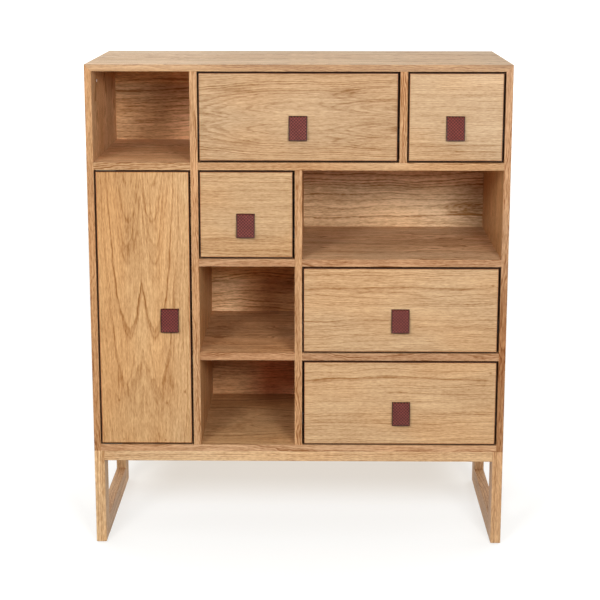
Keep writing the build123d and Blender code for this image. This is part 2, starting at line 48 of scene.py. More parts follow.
class Graph:
    """Builds one material's nodes; numbers are folded where both sides are."""

    def __init__(self, name):
        self.mat = bpy.data.materials.new(name)
        self.mat.use_nodes = True
        self.tree = self.mat.node_tree
        self.tree.nodes.clear()

    def node(self, kind, **props):
        n = self.tree.nodes.new(kind)
        for k, v in props.items():
            setattr(n, k, v)
        return n

    def put(self, socket, value):
        if isinstance(value, bpy.types.NodeSocket):
            self.tree.links.new(value, socket)
        else:
            socket.default_value = value

    def m(self, op, a, b=None, c=None, clamp=False):
        if not clamp and c is None and b is not None:
            if not isinstance(a, bpy.types.NodeSocket) and not isinstance(b, bpy.types.NodeSocket):
                if op == "ADD":
                    return a + b
                if op == "SUBTRACT":
                    return a - b
                if op == "MULTIPLY":
                    return a * b
        n = self.node("ShaderNodeMath", operation=op, use_clamp=clamp)
        for s, v in zip(n.inputs, (a, b, c)):
            if v is not None:
                self.put(s, v)
        return n.outputs[0]

    def add(self, a, b):
        return self.m("ADD", a, b)

    def sub(self, a, b):
        return self.m("SUBTRACT", a, b)

    def mul(self, a, b):
        return self.m("MULTIPLY", a, b)

    def mad(self, a, b, c):
        return self.m("MULTIPLY_ADD", a, b, c)

    def step(self, value, lo, hi, a=0.0, b=1.0):
        """Smooth step of value from lo to hi, out a to b."""
        n = self.node("ShaderNodeMapRange", interpolation_type="SMOOTHSTEP")
        self.put(n.inputs["Value"], value)
        n.inputs["From Min"].default_value = lo
        n.inputs["From Max"].default_value = hi
        n.inputs["To Min"].default_value = a
        n.inputs["To Max"].default_value = b
        return n.outputs[0]

    def vec(self, x, y, z):
        n = self.node("ShaderNodeCombineXYZ")
        for s, v in zip(n.inputs, (x, y, z)):
            self.put(s, v)
        return n.outputs[0]

    def split(self, v):
        n = self.node("ShaderNodeSeparateXYZ")
        self.put(n.inputs[0], v)
        return n.outputs[0], n.outputs[1], n.outputs[2]

    def vmad(self, v, a, b):
        n = self.node("ShaderNodeVectorMath", operation="MULTIPLY_ADD")
        self.put(n.inputs[0], v)
        self.put(n.inputs[1], a)
        self.put(n.inputs[2], b)
        return n.outputs[0]

    def noise(self, vector, detail=0.0, rough=0.5, colour=False):
        n = self.node("ShaderNodeTexNoise", noise_dimensions="3D")
        self.put(n.inputs["Vector"], vector)
        n.inputs["Scale"].default_value = 1.0
        n.inputs["Detail"].default_value = detail
        n.inputs["Roughness"].default_value = rough
        return n.outputs[1 if colour else 0]

    def noise1(self, w, detail=0.0, rough=0.5):
        n = self.node("ShaderNodeTexNoise", noise_dimensions="1D")
        self.put(n.inputs["W"], w)
        n.inputs["Scale"].default_value = 1.0
        n.inputs["Detail"].default_value = detail
        n.inputs["Roughness"].default_value = rough
        return n.outputs[0]

    def mix(self, fac, a, b, kind="MIX"):
        n = self.node("ShaderNodeMix", data_type="RGBA", blend_type=kind)
        self.put(n.inputs["Factor"], fac)
        rgba = lambda c: c if isinstance(c, bpy.types.NodeSocket) else (*c[:3], 1.0)
        self.put(n.inputs[6], rgba(a))
        self.put(n.inputs[7], rgba(b))
        return n.outputs[2]

    def position(self):
        """Object coordinates in millimetres, as a vector and its three parts."""
        tc = self.node("ShaderNodeTexCoord")
        n = self.node("ShaderNodeVectorMath", operation="SCALE")
        self.put(n.inputs[0], tc.outputs["Object"])
        n.inputs["Scale"].default_value = 1000.0
        return n.outputs[0], dict(zip("XYZ", self.split(n.outputs[0])))

    def bump(self, height, strength, distance):
        n = self.node("ShaderNodeBump")
        n.inputs["Strength"].default_value = strength
        n.inputs["Distance"].default_value = distance
        self.put(n.inputs["Height"], height)
        return n.outputs[0]

    def surface(self, colour, rough, normal=None, **fixed):
        b = self.node("ShaderNodeBsdfPrincipled")
        self.put(b.inputs["Base Color"], colour if isinstance(colour, bpy.types.NodeSocket) else (*colour[:3], 1.0))
        self.put(b.inputs["Roughness"], rough)
        if normal is not None:
            self.put(b.inputs["Normal"], normal)
        for k, v in fixed.items():
            b.inputs[k.replace("_", " ")].default_value = v
        out = self.node("ShaderNodeOutputMaterial")
        self.tree.links.new(b.outputs[0], out.inputs["Surface"])
        return self.mat


def scaled(c, k):
    if isinstance(k, (int, float)):
        k = (k, k, k)
    return tuple(a * b for a, b in zip(c, k))


# ---------------------------------------------------------------- oak
# The wood is a solid: growth rings round a pith that runs along the board a
# little aslant, warped at three scales.  A veneered panel repeats it in
# bookmatched leaves.  u runs with the grain, v across the face, w through it.
FRONT_TONE = (0.520, 0.320, 0.168)
BOARD_TONE = (0.530, 0.310, 0.152)


def oak(
    name, axes, at, seed, tone=FRONT_TONE, leaf=0.0, seam=0.0, pith=(0.0, 60.0),
    slope=0.06, spacing=3.6, wander=(10.0, 12.0), waver=8.0, contrast=1.0,
    bands=1.0, band_size=6.0, lines=1.0, fibres=1.0, knots=(), tongues=(), streaks=(),
    patches=(), warp=4.0, edge=None, rough=0.50, leaf_tone=0.03, flip_w=1.0, spec=0.30,
    patch=1.0, rim=None, light_and_tone_zones=(), zone_y=1000.0, rear_light_and_shade=(),
):
    g = Graph(name)
    p, c = g.position()
    u = g.sub(c[axes[0]], at[0])
    v = g.sub(c[axes[1]], at[1])
    w = g.mul(g.sub(c[axes[2]], at[2]), flip_w)
    if leaf:
        vm = g.m("PINGPONG", g.sub(v, seam), leaf)
    else:
        vm = v
    q = g.vec(u, vm, w)
    s = seed * 17.31
    low = g.noise(g.vmad(q, (1 / 260, 1 / 120, 1 / 120), (s, 3.1 + s, 7.7)), 1.0, 0.5, True)
    mid = g.noise(g.vmad(q, (1 / 70, 1 / 24, 1 / 24), (4.2, s, 1.9 + s)), 1.0, 0.5, True)
    l1, l2, l3 = g.split(low)
    m1, m2, m3 = g.split(mid)
    # ring radius
    vv = g.mad(m1, 2 * waver, g.mad(l1, 4 * wander[0], g.sub(vm, pith[0] + waver + 2 * wander[0])))
    ww = g.mad(m2, 2 * waver, g.mad(l2, 4 * wander[1], g.add(w, pith[1] - waver - 2 * wander[1])))
    ww = g.mad(u, slope, ww)
    r = g.m("SQRT", g.mad(vv, vv, g.mul(ww, ww)))
    fine = g.noise(g.vmad(q, (1 / 16, 1 / 4.5, 1 / 4.5), (s, 9.0, 2.0)))
    r = g.mad(fine, 1.8, r)
    dots = []
    for ku, kv, size in knots:
        du = g.mul(g.sub(u, ku), 1 / (1.5 * size))
        dv = g.mul(g.sub(v, kv), 1 / size)
        d2 = g.mad(du, du, g.mul(dv, dv))
        near = g.m("EXPONENT", g.mul(d2, -0.16))
        r = g.mad(near, 2.2 * size, r)
        dots.append(g.m("EXPONENT", g.mul(d2, -1.0)))
    t = g.mul(r, 1.0 / spacing)
    f = g.m("FRACT", t)
    ring_no = g.m("FLOOR", t)
    wn = g.node("ShaderNodeTexWhiteNoise", noise_dimensions="1D")
    g.put(wn.inputs["W"], g.add(ring_no, s))
    rnd = wn.outputs["Value"]
    early = g.mul(g.step(f, 0.0, 0.14), g.step(f, 0.2, 0.8, 1.0, 0.0))
    line = g.mul(early, g.mad(g.mul(rnd, rnd), 1.3, 0.05))
    band = g.sub(g.noise1(g.mad(r, 1.0 / band_size, s), 3.0, 0.66), 0.5)
    patchy = g.sub(g.noise(g.vmad(p, *_swizzle(axes, (1 / 220, 1 / 60, 1 / 60), s)), 1.0), 0.5)
    # fibres: short dashes of pores, longer threads and broad soft streaks
    fib_a = g.sub(g.noise(g.vmad(p, *_swizzle(axes, (1 / 12, 1 / 2.3, 1 / 2.3), s + 5)), 1.0), 0.5)
    fib_b = g.sub(g.noise(g.vmad(p, *_swizzle(axes, (1 / 58, 1 / 3.1, 1 / 3.1), s + 9)), 1.0), 0.5)
    fib_c = g.sub(g.noise(g.vmad(p, *_swizzle(axes, (1 / 190, 1 / 8.0, 1 / 8.0), s + 7)), 1.0), 0.5)
    pore = g.step(g.noise(g.vmad(p, *_swizzle(axes, (1 / 6.5, 1 / 0.6, 1 / 0.6), s + 2))), 0.58, 0.74)
    pore = g.mul(pore, g.mad(early, 0.7, 0.3))
    k = contrast
    dark = g.mad(line, 0.62 * lines * k, 0.16)
    dark = g.mad(band, 1.15 * bands * k, dark)
    dark = g.mad(patchy, 0.55 * patch * k, dark)
    dark = g.mad(fib_a, 1.25 * fibres * k, dark)
    dark = g.mad(fib_b, 0.88 * fibres * k, dark)
    dark = g.mad(fib_c, 0.58 * fibres * k, dark)
    if tongues or streaks or patches:
        uw = g.mad(g.sub(m3, 0.5), 2.6 * warp, u)
        vw = g.mad(g.sub(m1, 0.5), 1.3 * warp, vm)
        vs = g.mad(g.sub(m1, 0.5), 1.3 * warp, v)
        ragged = g.mad(fib_b, 1.6, 1.0)
    for tu, tv, bend, width, deep, reach in tongues:
        dv = g.sub(vw, tv)
        e = g.sub(g.sub(uw, tu), g.mul(g.mul(dv, dv), bend))
        far = g.m("ABSOLUTE", dv)
        e = g.m("DIVIDE", e, g.mad(far, 0.06 * width, width))
        mark = g.m("EXPONENT", g.mul(g.mul(e, e), -1.0))
        mark = g.mul(g.mul(mark, ragged), g.step(far, 0.35 * reach, reach, 1.0, 0.0))
        dark = g.mad(mark, deep, dark)
    for sv, amp, length, phase, width, deep, ua, ub in streaks:
        wave = g.m("SINE", g.mad(uw, 2 * math.pi / length, phase))
        e = g.mul(g.sub(g.sub(vs, sv), g.mul(wave, amp)), 1.0 / width)
        mark = g.m("EXPONENT", g.mul(g.mul(e, e), -1.0))
        mark = g.mul(mark, g.mul(g.step(u, ua - 25.0, ua + 25.0), g.step(u, ub - 25.0, ub + 25.0, 1.0, 0.0)))
        dark = g.mad(g.mul(mark, ragged), deep, dark)
    for pu, pv, su, sv, deep in patches:
        du = g.mul(g.sub(uw, pu), 1.0 / su)
        dv = g.mul(g.sub(vs, pv), 1.0 / sv)
        mark = g.m("EXPONENT", g.mul(g.mad(du, du, g.mul(dv, dv)), -1.0))
        dark = g.mad(g.mul(mark, ragged), deep, dark)
    dark = g.mad(pore, 0.34, dark)
    for d in dots:
        dark = g.mad(d, 0.9, dark)
    dark = g.m("MAXIMUM", g.m("MINIMUM", dark, 1.25), -0.32)
    light_c = scaled(tone, (1.09, 1.11, 1.14))
    dark_c = scaled(tone, (0.62, 0.50, 0.38))
    n = g.node("ShaderNodeMix", data_type="RGBA", blend_type="MIX")
    n.clamp_factor = False
    g.put(n.inputs["Factor"], dark)
    n.inputs[6].default_value = (*light_c, 1.0)
    n.inputs[7].default_value = (*dark_c, 1.0)
    colour = n.outputs[2]
    # slow drift of hue along the board, and between the leaves
    warm = g.step(l3, 0.36, 0.64)
    colour = g.mix(warm, g.mix(1.0, colour, (0.985, 1.01, 1.04), "MULTIPLY"), g.mix(1.0, colour, (1.015, 0.985, 0.95), "MULTIPLY"))
    if leaf and leaf_tone:
        half = g.m("FRACT", g.mul(g.sub(v, seam), 0.5 / leaf))
        side = g.step(half, 0.499, 0.501)
        colour = g.mix(side, colour, scaled((1 - leaf_tone, 1 - leaf_tone * 1.2, 1 - leaf_tone * 1.5), 1.0), "MULTIPLY")
    # tint boxes over X and Z, in front of zone_y: mostly painted light and shade, lightening or darkening parts of a
    # board where the lamps reach it more or less
    for x0, x1, z0, z1, soft, rise, tint in light_and_tone_zones:
        inside = g.mul(g.step(c["X"], x0 - soft, x0 + soft), g.step(c["X"], x1 - soft, x1 + soft, 1.0, 0.0))
        inside = g.mul(inside, g.mul(g.step(c["Z"], z0 - rise, z0 + rise), g.step(c["Z"], z1 - rise, z1 + rise, 1.0, 0.0)))
        inside = g.mul(inside, g.m("LESS_THAN", c["Y"], zone_y))
        colour = g.mix(inside, colour, tint, "MULTIPLY")
    for x0, x1, y0, y1, tint in rear_light_and_shade:
        # painted light and shade on the far part of a floor board
        inside = g.mul(g.step(c["X"], x0 - 4.0, x0 + 4.0), g.step(c["X"], x1 - 4.0, x1 + 4.0, 1.0, 0.0))
        colour = g.mix(g.mul(inside, g.step(c["Y"], y0, y1)), colour, tint, "MULTIPLY")
    if edge is not None:
        # the strip of veneer on the front edge of the board
        strip = g.m("LESS_THAN", c["Y"], FRONT_Y + 0.95)
        colour = g.mix(strip, colour, edge, "MULTIPLY")
    if rim is not None:
        # an inset front: painted shade in its gaps, dark brown sides and a near-black line along the eased arris
        x0, x1, z0, z1 = rim
        dx = g.m("MINIMUM", g.sub(c["X"], x0), g.sub(x1, c["X"]))
        dz = g.m("MINIMUM", g.sub(c["Z"], z0), g.sub(z1, c["Z"]))
        d = g.m("MINIMUM", dx, dz)
        # painted shade: the sides of the front, down in the gap, darkened brown
        side = g.mul(g.step(d, 0.2, 0.6, 1.0, 0.0), g.step(c["Y"], FRONT_Y + 17.0, FRONT_Y + 17.6, 1.0, 0.0))
        colour = g.mix(side, colour, (0.36, 0.22, 0.13), "MULTIPLY")
        # painted shade: a near-black line along the eased arris widens the dark gap
        line = g.mul(g.step(d, 1.3, 2.5, 1.0, 0.0), g.step(c["Y"], FRONT_Y + 1.5, FRONT_Y + 3.0, 1.0, 0.0))
        colour = g.mix(line, colour, (0.04, 0.014, 0.006), "MULTIPLY")
        # painted shade: a slight darkening of the face along its outline
        painted_edge_shade = g.mul(g.step(d, 2.4, 4.2, 1.0, 0.0), g.m("LESS_THAN", c["Y"], FRONT_Y + 1.5))
        colour = g.mix(painted_edge_shade, colour, (0.88, 0.68, 0.56), "MULTIPLY")
    roughness = g.mad(pore, 0.16, g.mad(band, 0.10, g.mad(patchy, 0.12, rough)))
    height = g.mad(fib_a, 0.5, g.mul(pore, -1.0))
    normal = g.bump(height, 0.22, 0.00022)
    return g.surface(colour, roughness, normal, Specular_IOR_Level=spec)


def _swizzle(axes, scale_uvw, s):
    """Per-axis scale and offset for row coordinates, from scales along u, v, w."""
    scale = dict(zip(axes, scale_uvw))
    return (scale["X"], scale["Y"], scale["Z"]), (s, 1.7 * s, 0.6 * s)


def dress(node, material):
    o = nodes[node]
    o.data.materials.clear()
    o.data.materials.append(material)


# ---- fronts: each one's outline is x0, x1, z0, z1; the painted shade along its gaps follows it
B1 = oak(
    "oak_front_top_wide", "XZY", (0.0, 1057.6, FRONT_Y), 1.3, leaf=140.0, seam=-3.0, spec=0.16,
    pith=(24.0, 26.0), slope=-0.070, spacing=4.8, wander=(7.0, 5.0), waver=3.6,
    band_size=5.0, bands=0.58, lines=0.84, fibres=0.90, leaf_tone=0.01, tone=scaled(FRONT_TONE, (0.857, 0.885, 0.900)), warp=7.0,
    tongues=(
        (-118.0, 24.0, 0.42, 5.5, 0.52, 26.0), (-206.0, 20.0, 0.45, 8.0, 0.30, 22.0), (-78.0, 26.0, 0.46, 5.0, 0.34, 24.0),
        (76.0, 27.0, 0.36, 6.0, 0.34, 28.0), (82.0, 55.0, 0.34, 7.0, 0.38, 28.0), (52.0, 36.0, 0.25, 5.0, 0.24, 36.0),
        (112.0, 27.0, 0.36, 5.0, 0.26, 26.0), (146.0, 28.0, 0.36, 6.0, 0.26, 26.0), (120.0, 56.0, 0.34, 6.0, 0.28, 26.0),
    ),
    patches=(
        (118.0, 56.0, 50.0, 17.0, 0.46), (-150.0, 62.0, 50.0, 14.0, 0.36), (-136.0, -62.0, 50.0, 12.0, 0.30),
        (-30.0, 8.0, 70.0, 10.0, -0.22), (30.0, -56.0, 100.0, 14.0, -0.16), (190.0, -12.0, 60.0, 13.0, 0.16),
        (150.0, -66.0, 60.0, 9.0, 0.12),
    ),
    rim=(-234.45, 233.05, 953.85, 1161.4),
)
C1 = oak(
    "oak_front_top_small", "XZY", (369.0, 1057.6, FRONT_Y), 2.1, spec=0.16,
    pith=(260.0, 60.0), slope=0.02, spacing=4.4, wander=(5.0, 6.0), waver=3.0,
    # painted light: the right end of this front lighter and bluer
    contrast=0.76, bands=0.65, lines=0.7, fibres=1.22, tone=scaled(FRONT_TONE, (0.928, 0.974, 1.005)), light_and_tone_zones=((380.0, 540.0, 900.0, 1200.0, 60.0, 8.0, (1.05, 1.08, 1.13)),),
    streaks=((-66.0, 1.5, 210.0, 0.3, 2.6, 0.30, -120.0, 120.0), (-81.0, 1.0, 180.0, 2.0, 2.2, 0.26, -120.0, 120.0)),
    patches=((0.0, -84.0, 140.0, 26.0, 0.20),),
    rim=(257.85, 479.5, 954.05, 1161.4),
)
B2 = oak(
    "oak_front_middle_small", "XZY", (-123.0, 825.7, FRONT_Y), 3.4, spec=0.16,
    pith=(-230.0, 70.0), slope=0.03, spacing=4.4, wander=(5.0, 6.0), waver=3.0,
    contrast=0.82, bands=0.85, lines=0.85, fibres=1.20, tone=scaled(FRONT_TONE, (0.911, 0.913, 0.870)),
    streaks=(
        (-54.6, 1.6, 240.0, 0.6, 2.4, 0.42, -100.0, 100.0), (-68.0, 1.2, 200.0, 1.6, 2.2, 0.38, -100.0, 100.0),
        (36.0, 1.5, 260.0, 2.4, 2.6, 0.24, -100.0, 60.0), (58.0, 1.0, 220.0, 0.4, 2.2, 0.24, -100.0, 100.0),
    ),
    patches=((0.0, -88.0, 150.0, 24.0, 0.16),),
    rim=(-234.45, -12.8, 721.9, 929.45),
)
C3 = oak(
    "oak_front_lower_wide", "XZY", (246.0, 593.6, FRONT_Y), 4.7, spec=0.16,
    pith=(190.0, 50.0), slope=0.03, spacing=4.6, wander=(8.0, 8.0), waver=4.0,
    contrast=0.84, bands=0.76, lines=0.80, fibres=1.12, tone=scaled(FRONT_TONE, (0.968, 0.982, 0.966)), warp=6.0,
    streaks=(
        (55.5, 2.2, 300.0, 1.2, 3.0, 0.55, -240.0, 215.0), (41.0, 6.5, 250.0, 2.55, 2.6, 0.36, -150.0, 60.0),
        (16.0, 1.5, 400.0, 0.6, 3.4, 0.22, 20.0, 215.0), (-26.0, 1.8, 320.0, 2.0, 3.0, 0.26, -220.0, -20.0),
        (-41.0, 1.5, 300.0, 0.2, 2.4, 0.26, 20.0, 215.0), (-60.0, 1.5, 380.0, 1.1, 2.6, 0.22, -220.0, 60.0),
    ),
    patches=((-212.0, 52.0, 22.0, 6.0, 0.34), (120.0, 55.0, 70.0, 4.0, 0.22)),
    knots=((219.0, 61.0, 2.6),),
    rim=(11.6, 479.1, 489.95, 697.3),
)
C4 = oak(
    "oak_front_bottom_wide", "XZY", (246.0, 361.9, FRONT_Y), 5.2, spec=0.16,
    pith=(194.0, 54.0), slope=0.03, spacing=4.6, wander=(8.0, 8.0), waver=4.0,
    contrast=0.84, bands=0.72, lines=0.80, fibres=1.18, tone=scaled(FRONT_TONE, (1.020, 1.025, 0.992)), warp=6.0,
    streaks=(
        (61.5, 4.2, 560.0, 1.7, 2.8, 0.55, -240.0, 225.0), (97.0, 1.2, 400.0, 0.4, 2.2, 0.34, -200.0, 60.0),
        (24.0, 3.0, 420.0, 2.0, 3.2, 0.30, -40.0, 220.0), (44.0, 5.0, 460.0, 3.6, 2.4, 0.26, 120.0, 225.0),
        (-26.0, 1.6, 300.0, 0.4, 3.0, 0.26, -20.0, 220.0), (-44.0, 1.5, 260.0, 1.9, 2.6, 0.24, -220.0, 60.0),
    ),
    patches=((-165.0, 56.0, 52.0, 6.0, 0.36), (-120.0, 38.0, 10.0, 4.0, 0.26)),
    knots=((219.0, 76.5, 2.6),),
    rim=(13.0, 479.9, 257.8, 465.95),
)
DOOR = oak(
    "oak_door", "ZXY", (593.7, -375.6, FRONT_Y), 6.6, leaf=130.0, seam=0.0, spec=0.16,
    pith=(31.0, 40.0), slope=-0.085, spacing=6.6, wander=(5.0, 4.0), waver=2.8,
    band_size=5.6, bands=0.40, lines=0.66, fibres=1.04, leaf_tone=0.035, warp=7.0,
    tone=scaled(FRONT_TONE, (1.026, 0.944, 0.773)), light_and_tone_zones=((-520.0, -375.6, 760.0, 1100.0, 1.2, 120.0, (0.93, 0.90, 0.86)), (-310.0, -200.0, 100.0, 1100.0, 40.0, 8.0, (0.97, 1.04, 1.15))),
    tongues=(
        (302.0, 30.0, 0.15, 5.0, 0.28, 60.0), (215.0, 27.0, 0.15, 4.6, 0.42, 90.0), (116.0, 32.0, 0.16, 4.6, 0.34, 90.0),
        (-70.0, 31.0, 0.15, 4.4, 0.44, 100.0), (-187.0, 42.0, 0.16, 5.6, 0.33, 90.0),
        (-262.0, 20.0, 0.20, 5.0, 0.22, 50.0),
    ),
    patches=((-160.0, 66.0, 52.0, 7.0, 0.42), (-170.0, -60.0, 44.0, 7.0, 0.36), (190.0, -30.0, 60.0, 14.0, 0.20)),
    knots=((-226.0, -60.0, 2.6), (-233.0, 56.0, 2.2), (-204.0, 100.0, 2.2), (-325.0, -50.0, 2.0), (-327.0, 51.0, 2.0)),
    rim=(-480.7, -258.45, 258.0, 929.45),
)
dress("drawer_top_wide_front", B1)
dress("drawer_top_small_front", C1)
dress("drawer_middle_small_front", B2)
dress("drawer_lower_wide_front", C3)
dress("drawer_bottom_wide_front", C4)
dress("door_panel", DOOR)

# ---- carcass boards
def edge_of(tone, wanted):
    """Factor that takes a board's tone to the tone of its front strip."""
    return tuple(a / b for a, b in zip(wanted, tone))


dress("top_panel", oak(
    "oak_top", "XYZ", (0.0, 6.0, 1180.0), 7.1, tone=scaled(BOARD_TONE, (1.06, 1.17, 1.18)), leaf=150.0, seam=20.0,
    pith=(60.0, 80.0), slope=0.04, spacing=4.2, contrast=1.15, edge=edge_of((1.06, 1.17, 1.18), (0.70, 0.67, 0.585)),
    # painted sheen on the left part of the top, lighter and bluer; painted shade at the right end
    light_and_tone_zones=(
        (-600.0, -230.0, 1170.0, 1300.0, 60.0, 4.0, (1.18, 1.27, 1.46)),
        (430.0, 600.0, 1170.0, 1300.0, 50.0, 4.0, (0.90, 0.91, 0.92)),
    ), wander=(10, 10), rough=0.50, spec=0.5,
))
dress("bottom_panel", oak(
    "oak_bottom", "XYZ", (0.0, 6.0, 250.0), 8.4, tone=scaled(BOARD_TONE, (1.12, 1.12, 1.05)), leaf=150.0, seam=-40.0,
    pith=(50.0, 70.0), slope=0.04, spacing=4.2, contrast=1.35, edge=edge_of((1.12, 1.12, 1.05), (0.92, 0.873, 0.874)),
        # painted shade: the far part of this compartment floor darker and redder
        rear_light_and_shade=((-237.0, -9.0, -40.0, 150.0, (0.86, 0.72, 0.60)),),
))
LEFT, RIGHT, INNER = (1.22, 1.24, 1.28), (1.07, 0.98, 0.84), (1.07, 0.99, 0.86)
for k, (n, x) in enumerate((("side_panel_left", -492.0), ("side_panel_right", 492.0))):
    dress(n, oak(
        "oak_" + n, "ZYX", (709.0, 6.0, x), 9.2 + 2.3 * k, tone=scaled(BOARD_TONE, LEFT if x < 0 else RIGHT), spec=0.15, leaf=155.0, seam=-75.0,
        pith=(70.0, 70.0), slope=0.035, spacing=4.2, flip_w=1.0 if x < 0 else -1.0, contrast=1.35, fibres=1.15,
        edge=edge_of(LEFT, (0.86, 0.775, 0.695)) if x < 0 else edge_of(RIGHT, (0.858, 0.82, 0.86)),
        light_and_tone_zones=() if x < 0 else ((470.0, 530.0, 100.0, 690.0, 1.0, 100.0, (0.77, 0.64, 0.50)),), zone_y=FRONT_Y + 0.95,
    ))
for k, (n, x) in enumerate((("divider_left", -246.0), ("divider_centre", 0.0), ("divider_right", 246.0))):
    dress(n, oak(
        "oak_" + n, "ZYX", (600.0, -6.0, x), 13.4 + 1.9 * k, tone=scaled(BOARD_TONE, INNER), spec=0.15, leaf=170.0, seam=30.0,
        pith=(80.0, 60.0), slope=0.04, spacing=4.2, contrast=1.35, fibres=1.15, edge=edge_of(INNER, (0.89, 0.83, 0.80)),
    ))
HIGH, LOW = (0.887, 0.875, 0.861), (0.784, 0.715, 0.717)
shelves = (
    ("shelf_top_left", (-370.0, 941.0), (1.34, 1.32, 1.36), HIGH), ("shelf_top_right", (124.0, 941.0), (1.18, 1.14, 1.10), HIGH),
    ("shelf_middle_left", (-123.0, 709.0), (1.18, 1.14, 1.10), LOW), ("shelf_middle_right", (246.0, 709.0), (1.18, 1.28, 1.45), LOW),
    ("shelf_lower_left", (-123.0, 478.0), (1.10, 1.05, 1.04), LOW), ("shelf_lower_right", (246.0, 478.0), (1.18, 1.14, 1.10), LOW),
    ("adjustable_shelf", (-370.0, 595.0), (1.10, 1.08, 1.06), HIGH),
)
for k, (n, (x, zz), tone, strip) in enumerate(shelves):
    dress(n, oak(
        "oak_" + n, "XYZ", (x, -6.0, zz), 21.7 + 1.37 * k, tone=scaled(BOARD_TONE, tone), spec=0.15, leaf=160.0, seam=25.0 - 9.0 * k,
        pith=(60.0 + 4 * k, 60.0), slope=0.035 * (1 if k % 2 else -1), spacing=4.2, contrast=1.3, fibres=1.1, edge=edge_of(tone, strip),
        # painted light: the far part of the top left floor lighter and bluer
        rear_light_and_shade=((-484.0, -255.0, 20.0, 190.0, (1.10, 1.16, 1.30)),) if n == "shelf_top_left" else (),
    ))
dress("back_panel", oak(
    "oak_back", "XZY", (0.0, 700.0, 214.0), 33.3, tone=scaled(BOARD_TONE, (1.24, 1.26, 1.26)),
    pith=(760.0, 60.0), slope=0.02, spacing=8.0, wander=(13.0, 9.0), waver=4.2,
    contrast=1.1, bands=0.7, band_size=9.0, lines=1.0, fibres=1.35, leaf_tone=0.0, spec=0.15, warp=7.0, zone_y=213.0,
    tongues=((388.0, 68.0, 0.10, 5.0, 0.45, 36.0), (404.0, 66.0, 0.13, 5.0, 0.60, 34.0), (420.0, 66.0, 0.16, 5.0, 0.60, 30.0),
             (436.0, 64.0, 0.20, 5.0, 0.50, 26.0)),
    patches=((456.0, 66.0, 46.0, 15.0, 0.62), (250.0, 74.0, 150.0, 26.0, -0.30), (200.0, 20.0, 160.0, 14.0, -0.16)),
    streaks=(
        (410.0, 1.5, 300.0, 0.5, 2.2, 0.50, -500.0, -250.0), (374.0, 2.0, 260.0, 1.2, 2.0, 0.55, -500.0, -250.0),
        (359.0, 2.5, 300.0, 2.0, 1.9, 0.50, -500.0, -250.0), (337.0, 2.0, 340.0, 0.3, 2.0, 0.80, -500.0, -250.0),
        (324.0, 2.5, 280.0, 1.5, 1.8, 0.55, -500.0, -250.0), (301.0, 3.0, 300.0, 0.8, 6.0, 0.34, -440.0, -250.0),
        (284.0, 2.5, 260.0, 2.2, 2.0, 0.50, -500.0, -250.0), (270.0, 2.0, 240.0, 1.0, 1.8, 0.45, -500.0, -250.0),
    ),
    # painted light and shade inside the compartments: each box lightens or darkens part of the back where the lamps
    # reach it more or less; three lift the shaded strips under the boards above
    light_and_tone_zones=(
        (-1.0, 600.0, 709.0, 941.0, 1.0, 8.0, (0.99, 1.12, 1.28)), (-240.0, -130.0, 478.0, 709.0, 50.0, 8.0, (1.28, 1.42, 1.60)),
        (-330.0, -246.0, 941.0, 1172.0, 40.0, 8.0, (1.32, 1.30, 1.38)), (-246.0, 0.0, 241.0, 478.0, 6.0, 8.0, (0.91, 0.83, 0.79)),
        (-150.0, 0.0, 478.0, 709.0, 40.0, 8.0, (0.95, 0.82, 0.72)),
        (-500.0, -246.0, 1098.0, 1200.0, 1.0, 12.0, (1.34, 1.24, 1.02)), (0.0, 500.0, 832.0, 941.0, 1.0, 12.0, (1.19, 1.16, 1.22)),
        (-246.0, 0.0, 578.0, 709.0, 1.0, 12.0, (1.24, 1.20, 0.99)), (-120.0, 0.0, 241.0, 478.0, 40.0, 8.0, (1.22, 0.91, 0.90)),
    ),
))

# ---- base
for k, (n, x, y) in enumerate((
    ("leg_front_left", -487.5, -195.0), ("leg_front_right", 487.5, -195.0),
    ("leg_rear_left", -487.5, 207.0), ("leg_rear_right", 487.5, 207.0),
)):
    dress(n, oak(
        "oak_" + n, "ZXY", (120.0, x, y), 41.2 + 1.7 * k, tone=scaled(BOARD_TONE, (1.21, 1.28, 1.29) if k % 2 == 0 else (1.0, 0.96, 0.92)),
        pith=(60.0, 34.0), slope=0.03, spacing=4.0, wander=(5.0, 5.0), waver=2.4, fibres=1.25, contrast=1.08,
    ))
for k, (n, x, zz) in enumerate((
    ("runner_left", -487.5, 27.0), ("runner_right", 487.5, 27.0),
    ("side_rail_left", -487.5, 226.0), ("side_rail_right", 487.5, 226.0),
)):
    dress(n, oak(
        "oak_" + n, "YZX", (6.0, zz, x), 51.6 + 1.7 * k, tone=BOARD_TONE,
        pith=(40.0, 44.0), slope=0.03, spacing=4.0, wander=(5.0, 5.0), waver=2.4,
    ))
for k, (n, y) in enumerate((("rail_front", -195.0), ("rail_rear", 207.0))):
    dress(n, oak(
        "oak_" + n, "XZY", (0.0, 226.0, y), 61.1 + 1.7 * k, tone=scaled(BOARD_TONE, (1.11, 1.18, 1.22)),
        pith=(70.0, 50.0), slope=0.012, spacing=4.0, wander=(6.0, 6.0), waver=2.4, fibres=1.3, contrast=1.05,
    ))


